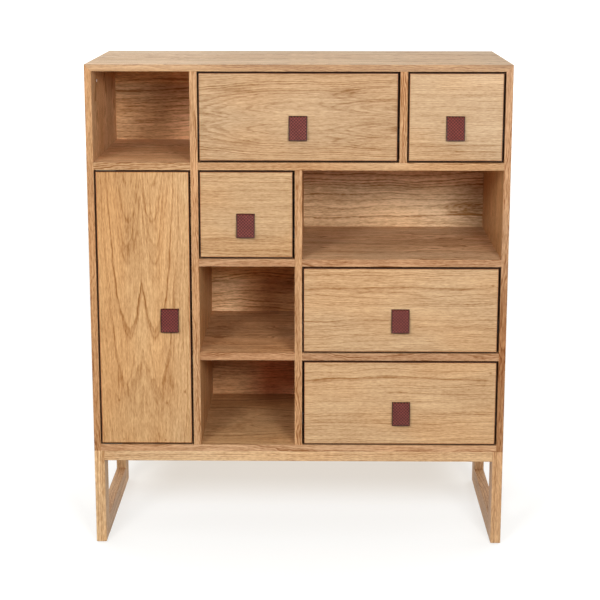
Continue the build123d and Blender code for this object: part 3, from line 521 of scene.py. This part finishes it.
# ---- drawer boxes: grain along the sides, across the back and the bottom
def box_wood(name, x0, x1, zb, seed):
    g = Graph(name)
    p, c = g.position()
    side = g.m("MAXIMUM", g.m("LESS_THAN", c["X"], x0 + 12.0), g.m("GREATER_THAN", c["X"], x1 - 12.0))
    flip = g.sub(1.0, side)
    u = g.add(g.mul(c["Y"], side), g.mul(c["X"], flip))
    v = g.add(c["Z"], g.mul(g.mul(c["Y"], flip), 0.83))
    w = g.add(g.mul(c["X"], side), g.mul(c["Y"], g.mul(flip, 0.3)))
    q = g.vec(u, v, w)
    low = g.noise(g.vmad(q, (1 / 240, 1 / 90, 1 / 90), (seed, 1.0, 4.0)), 1.0, 0.5, True)
    l1, l2, l3 = g.split(low)
    vv = g.mad(l1, 40.0, g.add(v, -zb - 160.0))
    r = g.mad(l2, 30.0, g.m("ABSOLUTE", g.mad(u, 0.02, vv)))
    fine = g.noise(g.vmad(q, (1 / 20, 1 / 5, 1 / 5), (seed, 2.0, 8.0)))
    r = g.mad(fine, 1.4, r)
    t = g.mul(r, 1 / 2.4)
    f = g.m("FRACT", t)
    early = g.mul(g.step(f, 0.0, 0.2), g.step(f, 0.25, 0.9, 1.0, 0.0))
    fib = g.sub(g.noise(g.vmad(q, (1 / 40, 1 / 1.2, 1 / 1.2), (seed, 5.0, 3.0)), 1.0), 0.5)
    pore = g.step(g.noise(g.vmad(q, (1 / 6, 1 / 0.5, 1 / 0.5), (seed, 9.0, 1.0))), 0.58, 0.74)
    cloud = g.sub(g.noise(g.vmad(q, (1 / 160, 1 / 22, 1 / 22), (seed, 7.0, 2.0)), 2.0), 0.5)
    dark = g.mad(pore, 0.25, g.mad(fib, 0.6, g.mad(early, 0.30, 0.1)))
    dark = g.m("MAXIMUM", g.mad(cloud, 0.8, dark), 0.0)
    colour = g.mix(dark, (0.64, 0.43, 0.245), (0.38, 0.215, 0.10))
    rough = g.mad(pore, 0.15, 0.5)
    normal = g.bump(g.mad(fib, 0.5, g.mul(pore, -1.0)), 0.2, 0.0002)
    return g.surface(colour, rough, normal)


BOXES = {
    "drawer_top_wide": (-237.25, 237.25, 950.25), "drawer_top_small": (255.25, 483.5, 950.25),
    "drawer_middle_small": (-237.25, -9.0, 718.5), "drawer_lower_wide": (9.0, 483.5, 486.75),
    "drawer_bottom_wide": (9.0, 483.5, 255.0),
}
for k, (n, (x0, x1, zb)) in enumerate(BOXES.items()):
    dress(n + "_box", box_wood("box_wood_" + n, x0 + 13.0, x1 - 13.0, zb, 2.0 + 3.7 * k))


# ---------------------------------------------------------------- small parts
def steel(name, tone, along, seed):
    g = Graph(name)
    p, c = g.position()
    scale = {"X": (0.02, 1.6, 1.6), "Y": (1.6, 0.02, 1.6), "Z": (1.6, 1.6, 0.02)}[along]
    scratch = g.noise(g.vmad(p, scale, (seed, seed, seed)), 2.0)
    cloud = g.noise(g.vmad(p, (0.05, 0.05, 0.05), (seed, 0.0, 0.0)), 2.0)
    tint = g.step(cloud, 0.35, 0.65)
    colour = g.mix(tint, scaled(tone, 0.88), scaled(tone, (1.05, 1.04, 1.0)))
    rough = g.mad(scratch, 0.22, g.mad(cloud, 0.14, 0.20))
    normal = g.bump(scratch, 0.12, 0.0001)
    return g.surface(colour, rough, normal, Metallic=1.0)


ZINC = steel("zinc_plated_steel", (0.62, 0.63, 0.65), "Y", 3.0)
SLIDE = steel("blackened_steel", (0.115, 0.110, 0.105), "Y", 4.0)
SCREW = steel("screw_steel", (0.58, 0.58, 0.60), "X", 8.0)
BRONZE = steel("dark_bronze", (0.110, 0.078, 0.050), "X", 5.0)
for n in BOXES:
    dress(n + "_fittings", SLIDE)
dress("slide_rails_fixed", SLIDE)
for n in ("door_tab_clamp", "door_strike_plate"):
    dress(n, ZINC)
for n in ("wood_screws", "shelf_pins"):
    dress(n, SCREW)
for n in ("door_hinge_pins", "door_hinge_leaves"):
    dress(n, BRONZE)


def beech(name):
    g = Graph(name)
    p, c = g.position()
    fleck = g.step(g.noise(g.vmad(p, (0.9, 0.9, 0.22), (1.0, 2.0, 3.0))), 0.56, 0.72)
    cloud = g.noise(g.vmad(p, (0.06, 0.06, 0.03), (4.0, 2.0, 3.0)), 2.0)
    colour = g.mix(g.step(cloud, 0.3, 0.7), (0.62, 0.40, 0.24), (0.70, 0.49, 0.31))
    colour = g.mix(g.mul(fleck, 0.5), colour, (0.40, 0.22, 0.11))
    return g.surface(colour, g.mad(fleck, 0.1, 0.55), g.bump(fleck, 0.2, 0.0002))


BEECH = beech("beech")
dress("wooden_dowels", BEECH)
dress("mitre_tongues", BEECH)


def felt(name):
    g = Graph(name)
    p, c = g.position()
    hair = g.noise(g.vmad(p, (2.2, 2.2, 3.0), (1.0, 2.0, 3.0)), 4.0, 0.7)
    mat = g.noise(g.vmad(p, (0.5, 0.5, 0.5), (7.0, 2.0, 3.0)), 2.0)
    colour = g.mix(g.step(hair, 0.3, 0.7), (0.065, 0.045, 0.032), (0.17, 0.125, 0.09))
    colour = g.mix(g.mul(mat, 0.5), colour, (0.10, 0.07, 0.05))
    return g.surface(colour, g.mad(mat, 0.08, 0.90), g.bump(hair, 0.8, 0.0005))


dress("felt_glides", felt("brown_felt"))


def moulded(name, tone, seed):
    g = Graph(name)
    p, c = g.position()
    spark = g.noise(g.vmad(p, (3.0, 3.0, 3.0), (seed, 1.0, 0.0)), 2.0)
    cloud = g.noise(g.vmad(p, (0.12, 0.12, 0.12), (seed, 5.0, 0.0)), 1.0)
    colour = g.mix(g.step(cloud, 0.3, 0.7), scaled(tone, 0.95), scaled(tone, (1.03, 1.02, 1.0)))
    return g.surface(colour, g.mad(spark, 0.14, 0.34), g.bump(spark, 0.25, 0.00008))


dress("magnetic_catch", moulded("catch_plastic", (0.60, 0.55, 0.47), 2.0))
dress("hole_plug", moulded("plug_plastic", (0.80, 0.79, 0.76), 6.0))

# ---------------------------------------------------------------- leather tabs
TAB_W, TAB_T = 43.5, 3.4
HANG = 55.7


def leather(name, xc, low, seed, shade_tint=None):
    """Dark red leather with a fine diagonal grain; its edges are painted."""
    g = Graph(name)
    p, c = g.position()
    dx = g.m("ABSOLUTE", g.sub(c["X"], xc))
    to_side = g.sub(TAB_W / 2, dx)
    to_low = g.sub(c["Z"], low)
    wob = g.noise(g.vmad(p, (0.35, 0.35, 0.35), (seed, 0.0, 2.0)), 1.0)
    rim = g.m("MINIMUM", to_side, g.sub(to_low, 0.6))
    paint = g.step(g.mad(wob, 0.8, rim), 2.3, 3.3, 1.0, 0.0)
    # two crossing rows of fine ridges, bent a little by noise
    warp = g.mul(g.sub(wob, 0.5), 2.2)
    a = g.mul(g.add(g.add(c["X"], c["Z"]), warp), 2 * math.pi / 7.4)
    b = g.mul(g.sub(g.sub(c["X"], c["Z"]), warp), 2 * math.pi / 7.4)
    pillow = g.mad(g.m("SINE", a), 0.40, g.mad(g.m("SINE", b), 0.40, 0.5))
    vor = g.node("ShaderNodeTexVoronoi", feature="DISTANCE_TO_EDGE")
    g.put(vor.inputs["Vector"], g.vmad(p, (1.15, 1.15, 1.15), (seed, 3.0, 5.0)))
    vor.inputs["Scale"].default_value = 1.0
    crease = g.step(vor.outputs["Distance"], 0.0, 0.16)
    cloud = g.noise(g.vmad(p, (0.08, 0.08, 0.08), (seed, 8.0, 5.0)), 2.0)
    tone = g.mix(g.step(cloud, 0.3, 0.7), (0.196, 0.039, 0.028), (0.256, 0.054, 0.041))
    tone = g.mix(g.mul(g.sub(1.0, crease), 0.45), tone, (0.046, 0.009, 0.008))
    pillow = g.m("MAXIMUM", g.m("MINIMUM", pillow, 1.0), 0.0)
    tone = g.mix(g.sub(1.0, pillow), tone, (0.046, 0.010, 0.008))
    tone = g.mix(paint, tone, (0.040, 0.007, 0.004))
    # partly the tab's own colour, partly painted shade: darker green and blue
    if shade_tint is not None:
        tone = g.mix(1.0, tone, shade_tint, "MULTIPLY")
    height = g.mad(pillow, 0.7, g.mul(crease, 0.5))
    height = g.mul(height, g.sub(1.0, g.mul(paint, 0.8)))
    rough = g.mad(crease, -0.10, g.mad(cloud, 0.12, 0.56))
    rough = g.mad(paint, -0.12, rough)
    return g.surface(tone, rough, g.bump(height, 0.7, 0.00035), Specular_IOR_Level=0.22)


def strap_path(top):
    """Middle line of the strap as (depth behind the front plane, z)."""
    h = TAB_T / 2
    pts = []
    # tail, upwards behind the front
    x_tail = 18.0 + 0.3 + h
    z0 = top - TAB_T - 24.0 + 0.1
    z1 = top - h - 2.4
    for k in range(9):
        pts.append((x_tail, z0 + (z1 - z0) * k / 8))
    for k in range(1, 8):
        a = math.pi / 2 * k / 8
        pts.append((x_tail - 2.4 * (1 - math.cos(a)), z1 + 2.4 * math.sin(a)))
    x0 = x_tail - 2.4
    for k in range(11):
        pts.append((x0 + (-1.9 - x0) * k / 10, top - h))
    rb = 2.25
    for k in range(1, 8):
        a = math.pi / 2 * k / 8
        pts.append((-1.9 - (rb - 0.25) * math.sin(a), top - h - rb * (1 - math.cos(a))))
    # hanging part: the outer face leans out, the middle line is set back
    lean = 12.0 - 5.6
    n = 46
    out = []
    for k in range(n + 1):
        t = k / n
        out.append((-5.6 - lean * t ** 1.7, top - 4.0 - (HANG - 4.0) * t))
    for k in range(n + 1):
        a, b = out[max(k - 1, 0)], out[min(k + 1, n)]
        td, tz = b[0] - a[0], b[1] - a[1]
        m = math.hypot(td, tz)
        pts.append((out[k][0] - h * tz / m, out[k][1] + h * td / m))
    return pts


def strap(name, body, node, xc, top):
    pts = strap_path(top)
    h, a = TAB_T / 2 - 0.04, TAB_W / 2 - 0.03
    r = 0.75

    def ring(inset):
        """Rounded section with a groove where the two layers meet: (x, n)."""
        aa, hh = a - inset, h - inset
        rr = min(r, hh - 0.05)
        sec = []
        cols = [-aa + rr, -aa + 1.3, -aa + 2.6]
        for k in range(1, 16):
            cols.append(-aa + 2.6 + (2 * aa - 5.2) * k / 16)
        cols += [aa - 2.6, aa - 1.3, aa - rr]
        for x in cols:
            sec.append((x, -hh))
        for k in range(1, 4):
            t = math.pi / 2 * k / 4
            sec.append((aa - rr + rr * math.sin(t), -hh + rr * (1 - math.cos(t))))
        sec.append((aa, -0.28))
        sec.append((aa - 0.28, 0.0))
        sec.append((aa, 0.28))
        for k in range(1, 4):
            t = math.pi / 2 * k / 4
            sec.append((aa - rr + rr * math.cos(t), hh - rr + rr * math.sin(t)))
        for x in reversed(cols):
            sec.append((x, hh))
        for k in range(1, 4):
            t = math.pi / 2 * k / 4
            sec.append((-aa + rr - rr * math.sin(t), hh - rr + rr * math.cos(t)))
        sec.append((-aa, 0.28))
        sec.append((-aa + 0.28, 0.0))
        sec.append((-aa, -0.28))
        for k in range(1, 4):
            t = math.pi / 2 * k / 4
            sec.append((-aa + rr - rr * math.cos(t), -hh + rr - rr * math.sin(t)))
        return sec

    bm = bmesh.new()
    rings = []
    total = len(pts)
    stations = [(k, 0.0, 0.0) for k in range(1, total - 1)]
    # rounded ends
    for e in (0.15, 0.35, 0.55, 0.70):
        inset = r - math.sqrt(max(r * r - e * e, 0.0))
        stations.insert(0, (1, -e, inset))
        stations.append((total - 2, e, inset))
    for k, along, inset in stations:
        p0, p1 = pts[max(k - 1, 0)], pts[min(k + 1, total - 1)]
        td, tz = p1[0] - p0[0], p1[1] - p0[1]
        m = math.hypot(td, tz)
        td, tz = td / m, tz / m
        nd, nz = -tz, td                      # normal: inner side of the bend
        cd, cz = pts[k][0] + td * along, pts[k][1] + tz * along
        low_end = k > total - 12
        verts = []
        for x, n in ring(inset):
            bow = 0.45 * (x / a) ** 2 * max(0.0, (k - (total - 12)) / 11) if low_end else 0.0
            d = cd - nd * n - td * bow
            z = cz - nz * n - tz * bow
            verts.append(bm.verts.new(((xc + x) / 1000, (FRONT_Y + d) / 1000, z / 1000)))
        rings.append(verts)
    for a0, a1 in zip(rings, rings[1:]):
        c = len(a0)
        for i in range(c):
            j = (i + 1) % c
            bm.faces.new((a0[i], a0[j], a1[j], a1[i]))
    bm.faces.new(rings[0])
    bm.faces.new(list(reversed(rings[-1])))
    bmesh.ops.recalc_face_normals(bm, faces=bm.faces[:])
    for f in bm.faces:
        f.smooth = True
    mesh = bpy.data.meshes.new(name)
    bm.to_mesh(mesh)
    bm.free()
    o = bpy.data.objects.new(name, mesh)
    bpy.context.scene.collection.objects.link(o)
    o.data.materials.append(leather("leather_" + name, xc, top - 56.3, xc * 0.013 + top * 0.0071, TAB_SHADE_TINT.get(body)))
    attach(o, body)
    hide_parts(node)
    return o


TABS = (
    ("drawer_top_wide", -1.2, (950.25 + 3.6 + 1164.0 - 2.6) / 2),
    ("drawer_top_small", 367.4, (950.25 + 3.8 + 1164.0 - 2.6) / 2),
    ("drawer_middle_small", -125.4, (718.5 + 3.4 + 932.25 - 2.8) / 2),
    ("drawer_lower_wide", 245.0, (486.75 + 3.2 + 700.5 - 3.2) / 2),
    ("drawer_bottom_wide", 249.5, (255.0 + 2.8 + 468.75 - 2.8) / 2),
    ("door", -309.0, (255.0 + 3.0 + 932.25 - 2.8) / 2),
)
# partly their own colour, partly painted shade: two tabs darker in green and blue
TAB_SHADE_TINT = {"door": (0.93, 0.74, 0.74), "drawer_top_small": (1.0, 0.84, 0.77)}
for n, xc, mid_z in TABS:
    strap("leather_strap_" + n, n, n + "_tab", xc, mid_z + 3.0 - 1.6)

# ---------------------------------------------------------------- stage
FLOOR_NEAR, FLOOR_MID, FLOOR_FAR = 0.66, 0.715, 0.34
FLOOR_SHADOW_TINT = (0.66, 0.595, 0.51)
floor_mesh = bpy.data.meshes.new("studio_floor")
bm = bmesh.new()
bmesh.ops.create_circle(bm, cap_ends=True, segments=96, radius=40.0)
bm.to_mesh(floor_mesh)
bm.free()
floor = bpy.data.objects.new("studio_floor", floor_mesh)
bpy.context.scene.collection.objects.link(floor)
g = Graph("studio_floor")
dif = g.node("ShaderNodeBsdfDiffuse")
dif.inputs["Color"].default_value = (0.38, 0.38, 0.38, 1.0)
emi = g.node("ShaderNodeEmission")
p, c = g.position()
far = g.m("SQRT", g.mad(c["X"], c["X"], g.mul(c["Y"], c["Y"])))
# painted light: the floor glows, dimmer near the cabinet and brighter far off
glow = g.add(g.step(far, 400.0, 2600.0, FLOOR_NEAR, FLOOR_MID), g.step(far, 2600.0, 9000.0, 0.0, FLOOR_FAR))
# painted shadow: under and behind the cabinet the floor's glow is dimmer and warmer
floor_shadow = g.mul(g.step(g.m("ABSOLUTE", c["X"]), 330.0, 640.0, 1.0, 0.0), g.step(c["Y"], -20.0, 280.0))
floor_shadow = g.mul(floor_shadow, g.step(c["Y"], 420.0, 1300.0, 1.0, 0.0))
g.put(emi.inputs["Color"], g.mix(floor_shadow, (1.0, 1.003, 0.985), FLOOR_SHADOW_TINT))
g.put(emi.inputs["Strength"], glow)
both = g.node("ShaderNodeAddShader")
out = g.node("ShaderNodeOutputMaterial")
g.tree.links.new(dif.outputs[0], both.inputs[0])
g.tree.links.new(emi.outputs[0], both.inputs[1])
g.tree.links.new(both.outputs[0], out.inputs["Surface"])
floor.data.materials.append(g.mat)
floor.visible_diffuse = False

# the room: a white backdrop behind the piece, a dim room in front of it; the
# eye and the reflections see the backdrop, the wood is lit less by it
world = bpy.data.worlds.new("studio")
bpy.context.scene.world = world
world.use_nodes = True
wt = world.node_tree
wt.nodes.clear()


def wnode(kind, **props):
    n = wt.nodes.new(kind)
    for k, v in props.items():
        setattr(n, k, v)
    return n


def wlerp(fac, lo, hi, a, b):
    n = wnode("ShaderNodeMapRange", interpolation_type="SMOOTHSTEP")
    wt.links.new(fac, n.inputs["Value"])
    n.inputs["From Min"].default_value = lo
    n.inputs["From Max"].default_value = hi
    for s, v in ((n.inputs["To Min"], a), (n.inputs["To Max"], b)):
        if isinstance(v, bpy.types.NodeSocket):
            wt.links.new(v, s)
        else:
            s.default_value = v
    return n.outputs[0]


tc = wnode("ShaderNodeTexCoord")
sep = wnode("ShaderNodeSeparateXYZ")
wt.links.new(tc.outputs["Generated"], sep.inputs[0])
_, wy, wz = sep.outputs
path = wnode("ShaderNodeLightPath")
as_light = wlerp(wz, -0.05, 0.05, wlerp(wy, -0.3, 0.5, 0.51, 0.20), wlerp(wy, -0.3, 0.5, 0.0, 1.58))
as_gloss = wlerp(wy, -0.2, 0.4, 0.12, 0.90)
power = wlerp(path.outputs["Is Glossy Ray"], 0.0, 1.0, as_light, as_gloss)
power = wlerp(path.outputs["Is Camera Ray"], 0.0, 1.0, power, 1.0)
bg = wnode("ShaderNodeBackground")
wt.links.new(power, bg.inputs["Strength"])
bg.inputs["Color"].default_value = (1.0, 1.0, 1.0, 1.0)
wo = wnode("ShaderNodeOutputWorld")
wt.links.new(bg.outputs[0], wo.inputs["Surface"])


def softbox(name, where, size, watts, aim=(0.0, -0.224, 0.70)):
    """Square area light at a place in the room, turned to the cabinet."""
    data = bpy.data.lights.new(name, "AREA")
    data.shape = "SQUARE"
    data.size = size
    data.energy = watts
    o = bpy.data.objects.new(name, data)
    bpy.context.scene.collection.objects.link(o)
    o.location = where
    o.rotation_euler = (Vector(where) - Vector(aim)).to_track_quat("Z", "Y").to_euler()
    return o


softbox("key_right", (1.0, -3.74, 1.92), 0.80, 89.0)
softbox("key_left", (-1.43, -3.60, 2.26), 0.85, 66.0)
softbox("fill_high", (0.0, -1.5, 3.2), 2.0, 24.0)
softbox("fill_left", (-3.6, -1.8, 1.2), 1.6, 17.0)

# ---------------------------------------------------------------- camera
F_PX, PITCH, YAW, ROLL = 1545.357, 0.2063078, -0.0102776, 0.00070917
cam_data = bpy.data.cameras.new("camera")
cam_data.sensor_fit = "HORIZONTAL"
cam_data.sensor_width = 36.0
cam_data.lens = F_PX / 600.0 * 36.0
cam_data.shift_y = -0.06
cam_data.clip_end = 200.0
cam = bpy.data.objects.new("camera", cam_data)
bpy.context.scene.collection.objects.link(cam)
cp, sp = math.cos(PITCH), math.sin(PITCH)
cw, sw = math.cos(YAW), math.sin(YAW)
cr, sr = math.cos(ROLL), math.sin(ROLL)
base = Matrix(((1, 0, 0), (0, 0, -1), (0, 1, 0)))
turn = Matrix(((cw, 0, -sw), (0, 1, 0), (sw, 0, cw)))
tilt = Matrix(((1, 0, 0), (0, cp, -sp), (0, sp, cp)))
roll = Matrix(((cr, -sr, 0), (sr, cr, 0), (0, 0, 1)))
R = roll @ tilt @ turn @ base
axes3 = Matrix((R[0], -R[1], -R[2])).transposed()
cam.matrix_world = Matrix.Translation((0.0408774, -3.8320446, 1.4622812)) @ axes3.to_4x4()
bpy.context.scene.camera = cam
bpy.context.scene.view_settings.view_transform = "Standard"

# ---------------------------------------------------------------- update
bpy.context.view_layer.update()
